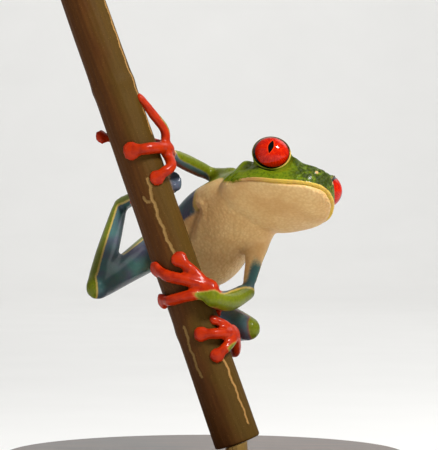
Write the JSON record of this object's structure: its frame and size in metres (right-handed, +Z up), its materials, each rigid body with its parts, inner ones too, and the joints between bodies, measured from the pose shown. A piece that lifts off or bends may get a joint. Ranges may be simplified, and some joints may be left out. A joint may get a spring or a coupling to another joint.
{
  "type": "red-eyed tree frog",
  "caption": "Life-size still model of a red-eyed tree frog clinging to a cut length of leaning stem on a round display stand.",
  "frame": {"origin": "centre of the display stand's flat underside", "axes": "+Z up; +Y away from the viewer, the way the frog's body runs back from the stem; +X to the viewer's right"},
  "size_m": [0.072, 0.072, 0.0897],
  "materials": {
    "skin_green": "moist leaf-green back over a granular cream belly",
    "skin_blue": "moist blue inner limb",
    "skin_orange": "wet orange fingers and toes",
    "eye": "wet red iris with a black upright slit pupil",
    "stem_bark": "smooth brown stem skin with a pale scar",
    "stand_wood": "dark satin lacquer",
    "stand_brass": "satin"
  },
  "bodies": {
    "root": {"head": "skin_green", "trunk": "skin_green", "eye_right": "eye", "eye_left": "eye", "upper_arm_right": "skin_green", "forearm_right": "skin_green", "hand_right": "skin_orange", "thigh_right": "skin_blue", "shank_right": "skin_green", "tarsus_right": "skin_blue", "foot_right": "skin_orange", "upper_arm_left": "skin_green", "forearm_left": "skin_green", "hand_left": "skin_orange", "thigh_left": "skin_blue", "shank_left": "skin_green", "tarsus_left": "skin_blue", "foot_left": "skin_orange", "stem": "stem_bark", "stand_base": "stand_wood", "stand_post": "stand_brass", "stand_brace": "stand_brass"}
  },
  "joints": []
}
